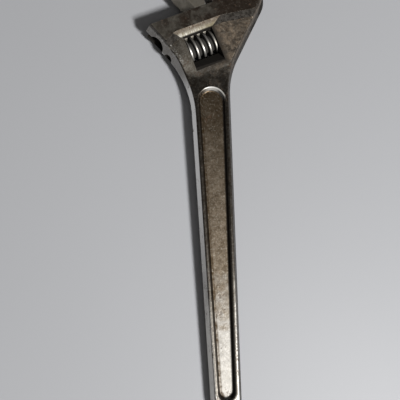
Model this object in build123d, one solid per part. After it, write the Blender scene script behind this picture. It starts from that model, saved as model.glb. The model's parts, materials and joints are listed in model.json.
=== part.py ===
from build123d import *
import math
import os

# Adjustable wrench. Millimetres and degrees. X points right, Y along the handle to the head,
# Z out of the front face. The origin is the hang hole's centre, half way through the handle.

# Handle
HANDLE_LENGTH = 221.0          # hang hole to the neck
TAIL_WIDTH = 25.5              # over the parting line at the hang hole
NECK_WIDTH = 33.1              # over the parting line at the neck
HANDLE_THICKNESS = 14.0
TAIL_REACH = 13.7              # hang hole to the tail's end
TAIL_CORNER = 11.5
HANG_HOLE_DIAMETER = 12.0
DRAFT_ANGLE = 24.0             # of every forged side, from the parting line
PARTING_ROUND = 3.0            # rounding of the ground parting line
EDGE_ROUND = 1.5               # rounding of worn face edges
RAIL_WIDTH = 2.7               # rim of the handle beside its recessed panel
PANEL_DEPTH = 3.5
PANEL_WALL_ANGLE = 26.0
PANEL_TOP = 33.5               # neck to the upper end of the panel's floor
PANEL_HOLE_WALL = 0.4          # between the panel's floor and the hang hole
PANEL_FLOOR_ROUND = 1.5

# Head, in its own frame: u along the jaw's slide to the right, v up the jaw faces
HEAD_ANGLE = 20.5
HEAD_REACH = 105.4             # neck to the throat's inner corner, along the handle
HEAD_OFFSET = 4.0              # throat's inner corner, right of the handle's axis
HEAD_THICKNESS = 25.0
CHEEK_THICKNESS = 20.0         # round the worm's window
SWELL_START = 3.5              # panel's upper end to where the handle starts to thicken
SWELL_LENGTH = 32.0
LEFT_FLARE_START = 42.0        # neck to where the left side leaves the handle's line
LEFT_FLARE_ANGLE = 40.6
LEFT_FLARE_RADIUS = 80.0
RIGHT_FLARE_START = 47.0       # neck to where the right side leaves the handle's line
RIGHT_FLARE_ANGLE = 28.5
RIGHT_FLARE_RADIUS = 67.0
STEP_DROP = 12.5               # from the slot's edge down to the raised strip's lower edge
STEP_RUN = 5.7
STEP_LEFT = -38.0              # left and right ends of the step's straight middle
STEP_RIGHT = 2.0
STEP_LEFT_FALL = 24.0
STEP_RIGHT_FALL = 8.7

# Jaws
THROAT_DEPTH = 42.0
FIXED_TIP = 17.0
FIXED_BACK_ANGLE = 50.0        # of the fixed jaw's back to the slide
SHOULDER_RADIUS = 20.0
TIP_RADIUS = 1.45              # of the jaws' corners on their faces
JAW_TIP = 15.0
JAW_BELLY = 23.5               # widest place of the movable jaw
JAW_BELLY_HEIGHT = 20.0
JAW_BELLY_RADIUS = 14.0
JAW_FOOT = 15.5                # length of the movable jaw's foot on the head
REST_GAP = 6.0                 # between the jaw faces as modelled
MAX_OPENING = 43.0

# Slide: a round rack bar in a keyhole bore
BORE_DEPTH = 12.5              # slot's edge to the bore's axis
BORE_DIAMETER = 15.0
RACK_OVERLAP = 10.25           # bar past the worm's middle at full opening
SLOT_WIDTH = 7.8
NECK_LENGTH = 24.0
NECK_DROP = 0.5
SLIDE_GAP = 0.3
RACK_END_GAP = 1.0
TOOTH_TIP_GAP = 0.7            # rack's tooth tips to the bottom of the worm's thread

# Adjusting worm in its window
PITCH = 5.6
WORM_DIAMETER = 20.0
WORM_ROOT_DIAMETER = 13.4
CREST_WIDTH = 1.8
THREAD_SINK = 0.9              # thread's foot inside the worm's core
FLANK_ANGLE = 13.6
WORM_BELOW = 14.3              # bar's axis to the worm's axis
WORM_PHASE = -1.85             # crest on the rack's side, from the worm's middle
MESH_GAP = 0.35
WINDOW_LEFT = -34.0
WINDOW_RIGHT = -8.5
WINDOW_CORNER = 2.0
WORM_END_GAP = 0.5
WORM_SIDE_GAP = 1.8
WORM_SWING_GAP = 0.5           # round the worm, where the window's upper lip is cut back for it
SCALLOP_START = 3.5            # height over the parting line where the thumb scallop starts
SCALLOP_ANGLE = 54.5

# Worm screw and spring
PIN_DIAMETER = 6.0
PIN_RUN_GAP = 0.05
PIN_SEAT_GAP = 0.02
PIN_SEAT = 10.5                # depth of the pin's blind seat
SCREW_DIAMETER = 7.5
SCREW_LENGTH = 11.5
SCREW_SHOULDER = 2.5           # wall between the window and the screw's shoulder
SCREW_SLOT_WIDTH = 1.3
SCREW_SLOT_DEPTH = 1.7
PIN_CHAMFER = 0.5
SPRING_WIRE = 0.9
SPRING_MEAN_DIAMETER = 8.3
SPRING_TURNS = 4
SPRING_END_GAP = 0.15
POCKET_DIAMETER = 10.4         # spring's pocket in the worm
POCKET_DEPTH = 7.0

# Worked out from the sizes above
TOUCH = 0.01                   # closeness that counts as touching
FAR = 4 * (HANDLE_LENGTH + HEAD_REACH)    # past everything, for cutting blocks
HANDLE_HALF = HANDLE_THICKNESS / 2
CHEEK_HALF = CHEEK_THICKNESS / 2
HEAD_HALF = HEAD_THICKNESS / 2
DRAFT = math.tan(math.radians(DRAFT_ANGLE))
TIP_CORNER = TIP_RADIUS + HEAD_HALF * DRAFT       # jaws' corners at the parting line
HEAD = Plane(
    origin=(HEAD_OFFSET, HANDLE_LENGTH + HEAD_REACH, 0),
    x_dir=(math.cos(math.radians(HEAD_ANGLE)), math.sin(math.radians(HEAD_ANGLE)), 0),
    z_dir=(0, 0, 1),
)
WORM_MIDDLE = (WINDOW_LEFT + WINDOW_RIGHT) / 2
WORM_LENGTH = WINDOW_RIGHT - WINDOW_LEFT - 2 * WORM_END_GAP
WORM_RADIUS = WORM_DIAMETER / 2
WORM_ROOT_RADIUS = WORM_ROOT_DIAMETER / 2
WORM_DROP = BORE_DEPTH + WORM_BELOW               # slot's edge to the worm's axis
RACK_BELOW = WORM_BELOW - WORM_ROOT_RADIUS - TOOTH_TIP_GAP    # bar's axis to its tooth tips
BAR_RADIUS = BORE_DIAMETER / 2 - SLIDE_GAP
BAR_RIGHT = WORM_MIDDLE + MAX_OPENING + RACK_OVERLAP
BORE_REACH = BAR_RIGHT + RACK_END_GAP
BAR_LEFT = WINDOW_LEFT
FLANK = math.tan(math.radians(FLANK_ANGLE))


def side(y):
    """Half width of the handle over its parting line at a distance from the hang hole."""
    return (TAIL_WIDTH + (NECK_WIDTH - TAIL_WIDTH) * y / HANDLE_LENGTH) / 2


def in_head(u, v):
    """Point of the plan given in the head's frame."""
    return HEAD.from_local_coords((u, v, 0))


def crossing(p, p_angle, q, q_angle):
    """Where two lines of the plan meet, each given by a point and an angle from X."""
    a = Vector(1, 0, 0).rotate(Axis.Z, p_angle)
    b = Vector(1, 0, 0).rotate(Axis.Z, q_angle)
    gap = q - p
    along = (gap.X * b.Y - gap.Y * b.X) / (a.X * b.Y - a.Y * b.X)
    return p + a * along


def both_faces(solid):
    """A front feature and its copy on the back."""
    return solid + mirror(solid, about=Plane.XY)


def rim(faces):
    """Edges round a group of faces: those that belong to one face of the group only."""
    edges = [edge for face in faces for edge in face.edges()]
    return [edge for edge in edges if sum(edge.is_same(other) for other in edges) == 1]


def face_rims(solid):
    """Edges round the front and the back, which are the faces nearer to level than the draft."""
    level = math.cos(math.radians(DRAFT_ANGLE))
    return rim([face for face in solid.faces() if abs(face.normal_at().Z) > level])


def drafted(outline, half):
    """Forged blank: the outline at the parting line, drawn in with the draft towards both faces."""
    blank = both_faces(extrude(make_face(outline), amount=half, taper=DRAFT_ANGLE))
    parting = blank.edges().filter_by_position(Axis.Z, 0, 0)
    blank = fillet(parting, PARTING_ROUND)
    return fillet(face_rims(blank), EDGE_ROUND)


def body_outline():
    """Plan of the wrench body at its parting line. It covers the throat, which is cut later."""
    left_reach = HANDLE_LENGTH + LEFT_FLARE_START
    right_reach = HANDLE_LENGTH + RIGHT_FLARE_START
    left_start = Vector(-side(left_reach), left_reach)
    right_start = Vector(side(right_reach), right_reach)
    tail_corner = min(TAIL_CORNER, side(-TAIL_REACH) - EDGE_ROUND)
    tip = in_head(FIXED_TIP, THROAT_DEPTH)
    shoulder = crossing(right_start, 90 - RIGHT_FLARE_ANGLE, tip, HEAD_ANGLE - FIXED_BACK_ANGLE)
    throat_left = crossing(left_start, 90 + LEFT_FLARE_ANGLE, in_head(0, THROAT_DEPTH / 2), HEAD_ANGLE)
    corners = {
        Vector(side(-TAIL_REACH), -TAIL_REACH): tail_corner,
        right_start: RIGHT_FLARE_RADIUS,
        shoulder: SHOULDER_RADIUS,
        tip: TIP_CORNER,
        in_head(-FIXED_TIP, THROAT_DEPTH): TIP_CORNER,
        throat_left: TIP_CORNER,
        left_start: LEFT_FLARE_RADIUS,
        Vector(-side(-TAIL_REACH), -TAIL_REACH): tail_corner,
    }
    return FilletPolyline(*corners, radius=list(corners.values()), close=True)


def thickness_profile():
    """Side view that thins the blank: flat handle, swelling to the cheeks."""
    low = Vector(HANDLE_LENGTH + PANEL_TOP + SWELL_START, HANDLE_HALF)
    high = Vector(low.X + SWELL_LENGTH, CHEEK_HALF)
    pull = Vector(SWELL_LENGTH / 2, 0)
    top = [
        Line((-FAR, HANDLE_HALF), low),
        Bezier(low, low + pull, high - pull, high),
        Line(high, (FAR, CHEEK_HALF)),
    ]
    rest = Polyline((FAR, CHEEK_HALF), (FAR, 0), (-FAR, 0), (-FAR, HANDLE_HALF))
    return both_faces(extrude(Plane.YZ * make_face(top + [rest]), amount=FAR, both=True))


def raised_head():
    """Wedge on each cheek that thickens the head to the fixed jaw and a strip along the slot. It starts inside
    the cheek, as far under its face as the strip rises over it."""
    rise = HEAD_HALF - CHEEK_HALF
    slope = math.degrees(math.atan2(STEP_RUN, rise))
    low = -STEP_DROP - 2 * STEP_RUN
    left = STEP_LEFT + STEP_RUN * math.tan(math.radians(STEP_LEFT_FALL / 2))
    right = STEP_RIGHT - STEP_RUN * math.tan(math.radians(STEP_RIGHT_FALL / 2))
    plan = Polyline(
        (-FAR, low - (FAR + left) * math.tan(math.radians(STEP_LEFT_FALL))),
        (left, low),
        (right, low),
        (FAR, low - (FAR - right) * math.tan(math.radians(STEP_RIGHT_FALL))),
        (FAR, FAR),
        (-FAR, FAR),
        close=True,
    )
    wedge = extrude(make_face(plan), amount=2 * rise, taper=slope)
    return both_faces(HEAD * Pos(0, 0, CHEEK_HALF - rise) * wedge)


def handle_panel():
    """Recess in the handle's front face: round ends and sloped walls."""
    wall_run = PANEL_DEPTH * math.tan(math.radians(PANEL_WALL_ANGLE))
    inset = HANDLE_HALF * DRAFT + RAIL_WIDTH + wall_run
    top_end = HANDLE_LENGTH + PANEL_TOP
    top_radius = side(top_end) - inset
    low_end = HANG_HOLE_DIAMETER / 2 + PANEL_HOLE_WALL
    low_radius = side(low_end) - inset
    top_centre = top_end - top_radius
    low_centre = low_end + low_radius
    lean = math.asin((top_radius - low_radius) / (top_centre - low_centre))
    top_side = Vector(top_radius * math.cos(lean), top_centre - top_radius * math.sin(lean))
    low_side = Vector(low_radius * math.cos(lean), low_centre - low_radius * math.sin(lean))
    top_left = Vector(-top_side.X, top_side.Y)
    low_left = Vector(-low_side.X, low_side.Y)
    floor = [
        Line(low_side, top_side),
        ThreePointArc(top_side, (0, top_end), top_left),
        Line(top_left, low_left),
        ThreePointArc(low_left, (0, low_end), low_side),
    ]
    cut = extrude(make_face(floor), amount=HEAD_HALF, taper=-PANEL_WALL_ANGLE)
    cut = fillet(cut.faces().sort_by(Axis.Z)[0].edges(), PANEL_FLOOR_ROUND)
    return Pos(0, 0, HANDLE_HALF - PANEL_DEPTH) * cut


def is_panel_rim(edge, panels):
    """Whether an edge runs along the upper edge of a panel's wall."""
    middle = edge @ 0.5
    on_panel = panels.distance_to(middle) < TOUCH
    return on_panel and abs(middle.Z) > HANDLE_HALF - PANEL_FLOOR_ROUND


def worm_window():
    """Window through the head for the worm, with thumb scallops below it."""
    width = WINDOW_RIGHT - WINDOW_LEFT
    top = -STEP_DROP - STEP_RUN
    bottom = -WORM_DROP - WORM_RADIUS - WORM_SIDE_GAP
    opening = Rectangle(width, top - bottom, align=(Align.CENTER, Align.MAX))
    opening = fillet(opening.vertices().group_by(Axis.Y)[0], WINDOW_CORNER)
    window = Pos(WORM_MIDDLE, top) * extrude(opening, amount=HEAD_THICKNESS, both=True)
    run = (HEAD_THICKNESS - SCALLOP_START) * math.tan(math.radians(SCALLOP_ANGLE))
    wedge = Polyline(
        (bottom + WINDOW_CORNER, SCALLOP_START),
        (bottom, SCALLOP_START),
        (bottom - run, HEAD_THICKNESS),
        (bottom + WINDOW_CORNER, HEAD_THICKNESS),
        close=True,
    )
    scallop = Pos(WINDOW_LEFT) * extrude(Plane.YZ * make_face(wedge), amount=width)
    lip = WORM_DROP + top
    relief_half = math.sqrt(max((WORM_RADIUS + WORM_SWING_GAP) ** 2 - lip**2, SLOT_WIDTH**2 / 4))
    relief = Pos(WORM_MIDDLE, -WORM_DROP) * Box(
        width, WORM_BELOW, 2 * relief_half, align=(Align.CENTER, Align.MIN, Align.CENTER)
    )
    return HEAD * (window + relief + both_faces(scallop))


def along_slide(u, v, radius, length):
    """Round bar along the slide, from u to the right at height v, in the head's frame."""
    bar = Cylinder(radius, length, align=(Align.CENTER, Align.CENTER, Align.MIN))
    return Pos(u, v) * Rot(0, 90, 0) * bar


def wrench_body():
    """Handle, cheeks and fixed jaw, forged in one piece."""
    blank = drafted(body_outline(), HEAD_HALF)
    panels = both_faces(handle_panel())
    handle = blank & thickness_profile()
    handle = fillet(face_rims(handle), EDGE_ROUND) - panels
    worn = [edge for edge in face_rims(handle) if is_panel_rim(edge, panels)]
    handle = fillet(worn, EDGE_ROUND)
    hole = Cylinder(HANG_HOLE_DIAMETER / 2, HEAD_THICKNESS)
    body = handle + (blank & raised_head()) - hole
    throat = Pos(-FAR, 0, -FAR) * Box(FAR, FAR, 2 * FAR, align=Align.MIN)
    slot_box = (FAR, BORE_DEPTH, SLOT_WIDTH)
    slot = Pos(SLIDE_GAP) * Box(*slot_box, align=(Align.MAX, Align.MAX, Align.CENTER))
    bore = along_slide(-FAR, -BORE_DEPTH, BORE_DIAMETER / 2, FAR + BORE_REACH)
    seat_radius = PIN_DIAMETER / 2 + PIN_SEAT_GAP
    seat_left = WINDOW_LEFT - SCREW_SHOULDER
    seat = along_slide(seat_left, -WORM_DROP, seat_radius, WINDOW_RIGHT + PIN_SEAT - seat_left)
    thread = along_slide(seat_left - FAR, -WORM_DROP, SCREW_DIAMETER / 2 + PIN_SEAT_GAP, FAR)
    return body - HEAD * (throat + slot + bore + seat + thread) - worm_window()


def movable_jaw():
    """Sliding jaw on a neck and a round toothed bar, made closed and then drawn back to rest."""
    outline = FilletPolyline(
        (FIXED_TIP, -FIXED_TIP),
        (FIXED_TIP, THROAT_DEPTH),
        (-JAW_TIP, THROAT_DEPTH),
        (-JAW_BELLY, JAW_BELLY_HEIGHT),
        (-JAW_FOOT, 0),
        (-JAW_FOOT, -FIXED_TIP),
        radius=[TIP_CORNER, TIP_CORNER, TIP_CORNER, JAW_BELLY_RADIUS, TIP_CORNER, TIP_CORNER],
        close=True,
    )
    keep = Pos(0, SLIDE_GAP) * Box(FAR, FAR, FAR, align=(Align.MAX, Align.MIN, Align.CENTER))
    jaw = drafted(outline, HEAD_HALF) & keep
    neck_width = SLOT_WIDTH - 2 * SLIDE_GAP
    align = (Align.MAX, Align.MAX, Align.CENTER)
    web = Pos(0, -NECK_DROP) * Box(NECK_LENGTH, BORE_DEPTH - NECK_DROP, neck_width, align=align)
    stem = Pos(0, SLIDE_GAP) * Box(JAW_FOOT - DRAFT * HEAD_HALF, BORE_DEPTH, neck_width, align=align)
    bar = along_slide(BAR_LEFT, -BORE_DEPTH, BAR_RADIUS, BAR_RIGHT - BAR_LEFT)
    above_teeth = Box(FAR, FAR, FAR, align=(Align.CENTER, Align.MIN, Align.CENTER))
    bar = bar & Pos(0, -BORE_DEPTH - RACK_BELOW) * above_teeth
    jaw = jaw + web + stem + bar - rack_grooves()
    return HEAD * Pos(-REST_GAP) * jaw


def rack_grooves():
    """Tooth spaces across the bar's lower side, tilted to the worm's lead."""
    root = -WORM_DROP + WORM_RADIUS + MESH_GAP
    mouth = -BORE_DEPTH - BAR_RADIUS
    depth = root - mouth
    root_half = CREST_WIDTH / 2 + MESH_GAP
    mouth_half = root_half + (depth - MESH_GAP) * FLANK
    space = Polyline(
        (-root_half, root),
        (root_half, root),
        (mouth_half, mouth),
        (-mouth_half, mouth),
        close=True,
    )
    pitch_radius = WORM_RADIUS - (depth - MESH_GAP) / 2
    lead = math.degrees(math.atan2(PITCH, 2 * math.pi * pitch_radius))
    groove = Rot(0, lead, 0) * extrude(make_face(space), amount=2 * BAR_RADIUS, both=True)
    first = WORM_MIDDLE + WORM_PHASE + REST_GAP
    below = math.ceil((first - BAR_LEFT) / PITCH)
    above = math.ceil((BAR_RIGHT - first) / PITCH)
    return [Pos(first + turn * PITCH) * groove for turn in range(-below, above + 1)]


def worm_frame():
    """Frame of the worm: Z along its axis to the right, X towards the rack."""
    middle = in_head(WORM_MIDDLE, -WORM_DROP)
    return Plane(origin=middle, x_dir=HEAD.y_dir, z_dir=HEAD.x_dir)


def adjusting_worm():
    """Worm with a right-hand thread, a bore for its pin and a pocket for the spring."""
    turns = math.ceil(WORM_LENGTH / PITCH) + 2
    foot = WORM_ROOT_RADIUS - THREAD_SINK
    foot_half = CREST_WIDTH / 2 + (WORM_RADIUS - foot) * FLANK
    tooth = Polyline(
        (foot, -foot_half),
        (WORM_RADIUS, -CREST_WIDTH / 2),
        (WORM_RADIUS, CREST_WIDTH / 2),
        (foot, foot_half),
        close=True,
    )
    helix = Helix(pitch=PITCH, height=turns * PITCH, radius=WORM_RADIUS)
    start = WORM_PHASE - math.floor(turns / 2) * PITCH
    thread = Pos(0, 0, start) * sweep(Plane.XZ * make_face(tooth), path=helix, is_frenet=True)
    slab = Cylinder(2 * WORM_RADIUS, WORM_LENGTH)
    core = Cylinder(WORM_ROOT_RADIUS, WORM_LENGTH)
    bore = Cylinder(PIN_DIAMETER / 2 + PIN_RUN_GAP, FAR)
    pocket_align = (Align.CENTER, Align.CENTER, Align.MAX)
    pocket = Pos(0, 0, WORM_LENGTH / 2) * Cylinder(POCKET_DIAMETER / 2, POCKET_DEPTH, align=pocket_align)
    worm = (thread & slab) + core - bore - pocket
    return worm_frame() * worm


def worm_screw():
    """Slotted screw whose plain end is the worm's pin."""
    seat_left = WINDOW_LEFT - SCREW_SHOULDER
    head_left = seat_left - SCREW_LENGTH
    head = along_slide(head_left, -WORM_DROP, SCREW_DIAMETER / 2, SCREW_LENGTH)
    pin_end = WINDOW_RIGHT + PIN_SEAT - PIN_CHAMFER
    pin = along_slide(seat_left, -WORM_DROP, PIN_DIAMETER / 2, pin_end - seat_left)
    pin = chamfer(pin.edges().filter_by(GeomType.CIRCLE).sort_by(Axis.X)[-1], PIN_CHAMFER)
    slot = Pos(head_left, -WORM_DROP) * Box(2 * SCREW_SLOT_DEPTH, 2 * SCREW_DIAMETER, SCREW_SLOT_WIDTH)
    return HEAD * (head + pin - slot)


def worm_spring():
    """Coil round the pin, between the worm's pocket and the window's right wall."""
    floor = WORM_MIDDLE + WORM_LENGTH / 2 - POCKET_DEPTH
    room = WINDOW_RIGHT - floor - 2 * SPRING_END_GAP - SPRING_WIRE
    pitch = room / SPRING_TURNS
    print("spring: least gap between turns", round(pitch - SPRING_WIRE, 3), "mm")
    radius = SPRING_MEAN_DIAMETER / 2
    helix = Helix(pitch=pitch, height=room, radius=radius)
    wire = Plane(origin=helix @ 0, z_dir=helix % 0) * Circle(SPRING_WIRE / 2)
    coil = sweep(wire, path=helix, is_frenet=True)
    start = floor + SPRING_END_GAP + SPRING_WIRE / 2 - WORM_MIDDLE
    return worm_frame() * Pos(0, 0, start) * coil


os.makedirs("parts", exist_ok=True)
PIECES = {
    "wrench_body": wrench_body,
    "movable_jaw": movable_jaw,
    "adjusting_worm": adjusting_worm,
    "worm_screw": worm_screw,
    "worm_spring": worm_spring,
}
for name, make in PIECES.items():
    export_step(make(), f"parts/{name}.step")
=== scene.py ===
"""Old adjustable wrench with a worn plated finish, dressed on its solid model and lit on a pale table."""
import json
import math
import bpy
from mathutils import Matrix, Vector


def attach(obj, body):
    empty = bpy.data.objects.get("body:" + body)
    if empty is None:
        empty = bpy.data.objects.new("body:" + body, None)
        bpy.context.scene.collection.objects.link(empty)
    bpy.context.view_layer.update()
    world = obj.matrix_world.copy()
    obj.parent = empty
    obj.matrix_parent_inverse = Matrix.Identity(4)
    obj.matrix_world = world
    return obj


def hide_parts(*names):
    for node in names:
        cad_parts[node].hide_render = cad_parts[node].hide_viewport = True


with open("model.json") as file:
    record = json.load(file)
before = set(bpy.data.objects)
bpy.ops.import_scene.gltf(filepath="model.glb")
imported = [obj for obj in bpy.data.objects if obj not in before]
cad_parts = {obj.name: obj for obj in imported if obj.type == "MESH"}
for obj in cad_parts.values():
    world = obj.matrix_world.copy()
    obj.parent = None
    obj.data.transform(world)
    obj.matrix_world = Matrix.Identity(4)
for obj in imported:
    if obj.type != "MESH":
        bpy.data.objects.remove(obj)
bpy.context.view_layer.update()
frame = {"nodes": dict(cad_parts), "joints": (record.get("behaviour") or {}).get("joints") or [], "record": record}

from types import SimpleNamespace

import bpy
import numpy as np
from bpy.props import FloatProperty, FloatVectorProperty, IntProperty, PointerProperty

bl_info = {
    "name": "Adjustable wrench",
    "version": (1, 0, 0),
    "blender": (4, 5, 0),
    "location": "View3D > Sidebar > Wrench",
    "description": "Worm, spring, worn finishes and stage for an adjustable wrench",
    "category": "Object",
}

# Facts of the frame
SPIN = next(joint for joint in frame["joints"] if joint["name"] == "worm_spin")
LINK = next(link for link in frame["record"]["behaviour"]["couplings"] if link["joint"] == "worm_spin")
TURN = 2 * math.pi
PITCH = TURN / LINK["ratio"]
WORM_CENTRE = np.array(SPIN["pos_m"])
WORM_AXIS = np.array(SPIN["axis"]) / np.linalg.norm(SPIN["axis"])
FRONT = np.array((0.0, 0.0, 1.0))
TO_RACK = np.cross(FRONT, WORM_AXIS)

# Sizes of the solids that the finishes follow, in metres. Heights are from the parting line to either face
BORE_OVER_WORM = 0.0143           # worm's axis to the rack bar's axis
BORE_EDGE = (0.0075, 0.0077)      # bore's radius, and where its painted shade ends
SLOT_EDGE = (0.0039, 0.0041)      # half width of the slot for the jaw's neck, and where its painted shade ends
SLOT_SPAN = (0.0080, 0.0265)      # slot from the window to the head's edge, from the worm's axis
SLOT_END = (0.0215, 0.0225)       # just past the throat's inner corner, along the worm's axis
SCREW_EDGE = (0.0038, 0.0040)     # just over the screw's radius, and where its hole's painted shade ends
HANG_EDGE = (0.0060, 0.0063)      # hang hole's radius, and where its painted shade ends
WINDOW_HALF = 0.01285             # just over half of the window along the worm's axis
WINDOW_LOW, WINDOW_HIGH = -0.0209, 0.0087     # scallop's lower and window's upper edge, from the axis
HOLE_SOFT, SLOT_SOFT = 0.0001, 0.0002         # soft edges of the painted shade in them
HEAD_HALF = 0.0125                # height of the raised strip's face
CHEEK_EDGE = (0.0101, 0.0104)     # heights just over the cheek's face
STRIP_EDGE = (0.0122, 0.0124)     # heights just under the strip's face
STEP_SPAN = (0.01003, 0.01247)    # heights of the sloped step between cheek and strip
STEP_SOFT = 0.00003
PANEL_LOW, PANEL_HIGH = 0.0117, 0.2449        # centres of the panel's round ends, from the hang hole
PANEL_WIDENING = 0.018            # half width that the panel gains per length of handle
PANEL_EDGE = (0.0083, 0.0089)     # panel's half width with its rounded rim, at the hang hole
PANEL_FLOOR = (0.0046, 0.0056)    # heights over the panel's floor where its finish ends
PANEL_WALL = (0.0060, 0.0068)     # heights just under the rail's face
FLARE_CENTRE = (-0.0967, 0.2328)  # centre of the left side's hollow curve

# Fades along the handle, in metres from the hang hole: where a change of finish starts, and where it ends
# towards the tail the rails and panel floor turn to bare steel: partly cleaner metal, partly a painted sheen for
# the soft lamp's reflection
TAIL_END = (0.045, 0.115)
HEAD_START = (0.215, 0.268)
STEP_START = (0.27, 0.28)
DEEP_BROWN_START = (0.175, 0.28)
CHEEK_FILM_START = (0.258, 0.285)
GREY_CHEEK_START = (0.262, 0.272)
# the left side darkens from the tail up to here: partly tarnish, partly painted shade for its darker reflection
# near the tail
LEFT_TARNISH_END = (0.02, 0.22)
FLANK_START, FLANK_END = (0.25, 0.272), (0.277, 0.295)
FLANK_DULLING = (0.27, 0.29)

# Fades along the worm's axis, in metres from the worm's middle
WINDOW_CROSSING = (-0.012, 0.012)
GREY_CHEEK_END = (-0.016, -0.006)
STRIP_BROWN_START = (-0.030, 0.014)
# the rubbing on the step fades out to the right here: partly rubbed steel, partly a painted highlight of the lit
# step
RUB_END = (-0.004, 0.014)

# Turns of a face: the part of its normal that points up or down, left, or right
FLOOR_LEVEL, CHEEK_LEVEL, STRIP_LEVEL, STEP_LEVEL = (0.8, 0.93), (0.8, 0.95), (0.9, 0.97), (0.95, 0.985)
WALL_TURN, LEFT_TURN, RIGHT_TURN = (0.3, 0.6), (0.6, 0.85), (0.72, 0.93)

# Blotches: spacing as a share of the mottle's, and the noise levels between which they show
BLOTCHES = {
    "patches": (1.3, 0.48, 0.62),
    "mottle": (1.0, 0.36, 0.68),
    "smudge": (0.6, 0.45, 0.6),
    "spots": (0.55, 0.52, 0.6),
    "fleck": (0.42, 0.54, 0.68),
    "crumbs": (0.35, 0.5, 0.62),
    "freckle": (0.25, 0.36, 0.66),
}
STAIN_LEVELS, STREAK_LEVELS = (0.36, 0.66), (0.36, 0.62)

# Least strength of a film, and what the noise or mask over it adds
BORDER_STRENGTH = (0.55, 0.45)
CHEEK_STRENGTH = (0.4, 0.6)
EDGE_STRENGTH = (0.3, 0.5)
SPECK_STRENGTH = (0.3, 0.4)
FLECK_STRENGTH = (0.4, 0.12)
# rubbing on the step, partly a painted highlight
RUB_STRENGTH = (0.08, 0.34)
# painted shade round the worm's window
SMEAR_STRENGTH = (0.35, 0.5)
# painted shade on the step beside the worm
STEP_DIRT_STRENGTH = (0.72, 0.24)

BODY_ROUGHNESS = (0.3, 0.2)       # of the clean body, and what its rough films add
OCCLUSION_SAMPLES = 12            # rays that look for edges and corners
SHARP_DEGREES = 40                # edges that turn by more are shaded sharp


def node_points(name):
    """Corner points of a solid's mesh at rest, as an array of rows."""
    mesh = frame["nodes"][name].data
    points = np.empty(len(mesh.vertices) * 3)
    mesh.vertices.foreach_get("co", points)
    return points.reshape(-1, 3)


def along_and_out(points):
    """Distance of points along the worm's axis from its middle, and out from that axis."""
    arm = points - WORM_CENTRE
    along = arm @ WORM_AXIS
    out = np.linalg.norm(arm - along[:, None] * WORM_AXIS, axis=1)
    return along, out


WORM_ALONG, WORM_OUT = along_and_out(node_points("adjusting_worm"))
SPRING_ALONG, SPRING_OUT = along_and_out(node_points("worm_spring"))


def length(name, description, metres, **limits):
    """A length that a user may change."""
    return FloatProperty(
        name=name, description=description, default=metres, unit="LENGTH", precision=5, **limits)


def colour(name, description, red, green, blue):
    """A colour that a user may change."""
    return FloatVectorProperty(
        name=name, description=description, default=(red, green, blue), subtype="COLOR",
        size=3, min=0.0, max=1.0)


class WrenchSizes(bpy.types.PropertyGroup):
    """Sizes of the pieces that are drawn here."""

    worm_length: length("Worm length", "Length of the worm along its pin", np.ptp(WORM_ALONG))
    crest_radius: length("Crest radius", "Worm's axis to the top of its thread", WORM_OUT.max())
    root_radius: length("Root radius", "Worm's axis to the bottom of its thread", 0.0067)
    crest_width: length("Crest width", "Width of the thread at its top", 0.0018)
    foot_width: length("Foot width", "Width of the thread at its bottom", 0.0034)
    thread_phase: length("Thread phase", "Crest on the rack's side, from the worm's middle", -0.00185)
    end_round: length("End rounding", "Worn rounding of the worm's end rims", 0.0006)
    bore_radius: length("Bore radius", "Radius of the worm's bore on its pin", WORM_OUT.min())
    pocket_radius: length("Pocket radius", "Radius of the spring's pocket in the worm's end", 0.0052)
    pocket_depth: length("Pocket depth", "Depth of the spring's pocket", 0.007)
    spring_wire: length("Spring wire", "Diameter of the spring's wire", np.ptp(SPRING_OUT))
    spring_turns: IntProperty(
        name="Spring turns", description="Turns of the spring's wire", default=4, min=1)


class WrenchFinish(bpy.types.PropertyGroup):
    """Colours and grain sizes of the worn metal."""

    plating: colour("Plating", "Nickel that is still clean", 0.80, 0.785, 0.765)
    tarnish: colour("Tarnish", "Grey film on strip and jaw, and light flecks", 0.40, 0.37, 0.31)
    patina: colour("Patina", "Brown film on the handle's panel, screw and spring", 0.255, 0.208, 0.156)
    olive: colour("Olive", "Oily film on the rubbed step", 0.135, 0.118, 0.078)
    umber: colour("Umber", "Dark brown spots, and film at the panel's upper end", 0.055, 0.036, 0.018)
    film: colour("Film", "Dull brown film over cheeks and right edge", 0.27, 0.212, 0.155)
    oxide: colour("Oxide", "Dark grey skin of rails and neck", 0.155, 0.143, 0.126)
    rust: colour("Rust", "Red-brown specks in the pits", 0.085, 0.048, 0.030)
    # grime in corners, and also painted shade in holes, on the panel's shaded wall, beside and round the worm's
    # window
    grime: colour("Grime", "Oil and dirt in corners", 0.012, 0.010, 0.008)
    # bare steel, and also painted highlights on the panel's upper rim and the step, and painted sheen at the tail
    bare: colour("Bare steel", "Steel rubbed bright along edges", 0.585, 0.57, 0.535)
    wear_reach: length("Wear reach", "How far an edge is rubbed bright", 0.0014)
    grime_reach: length("Grime reach", "How far dirt spreads out of a corner", 0.005)
    stain_size: length("Stain size", "Spacing of the large stains", 0.024)
    mottle_size: length("Mottle size", "Spacing of the small blotches", 0.004)
    pit_size: length("Pit size", "Spacing of the pits", 0.0016)


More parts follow.
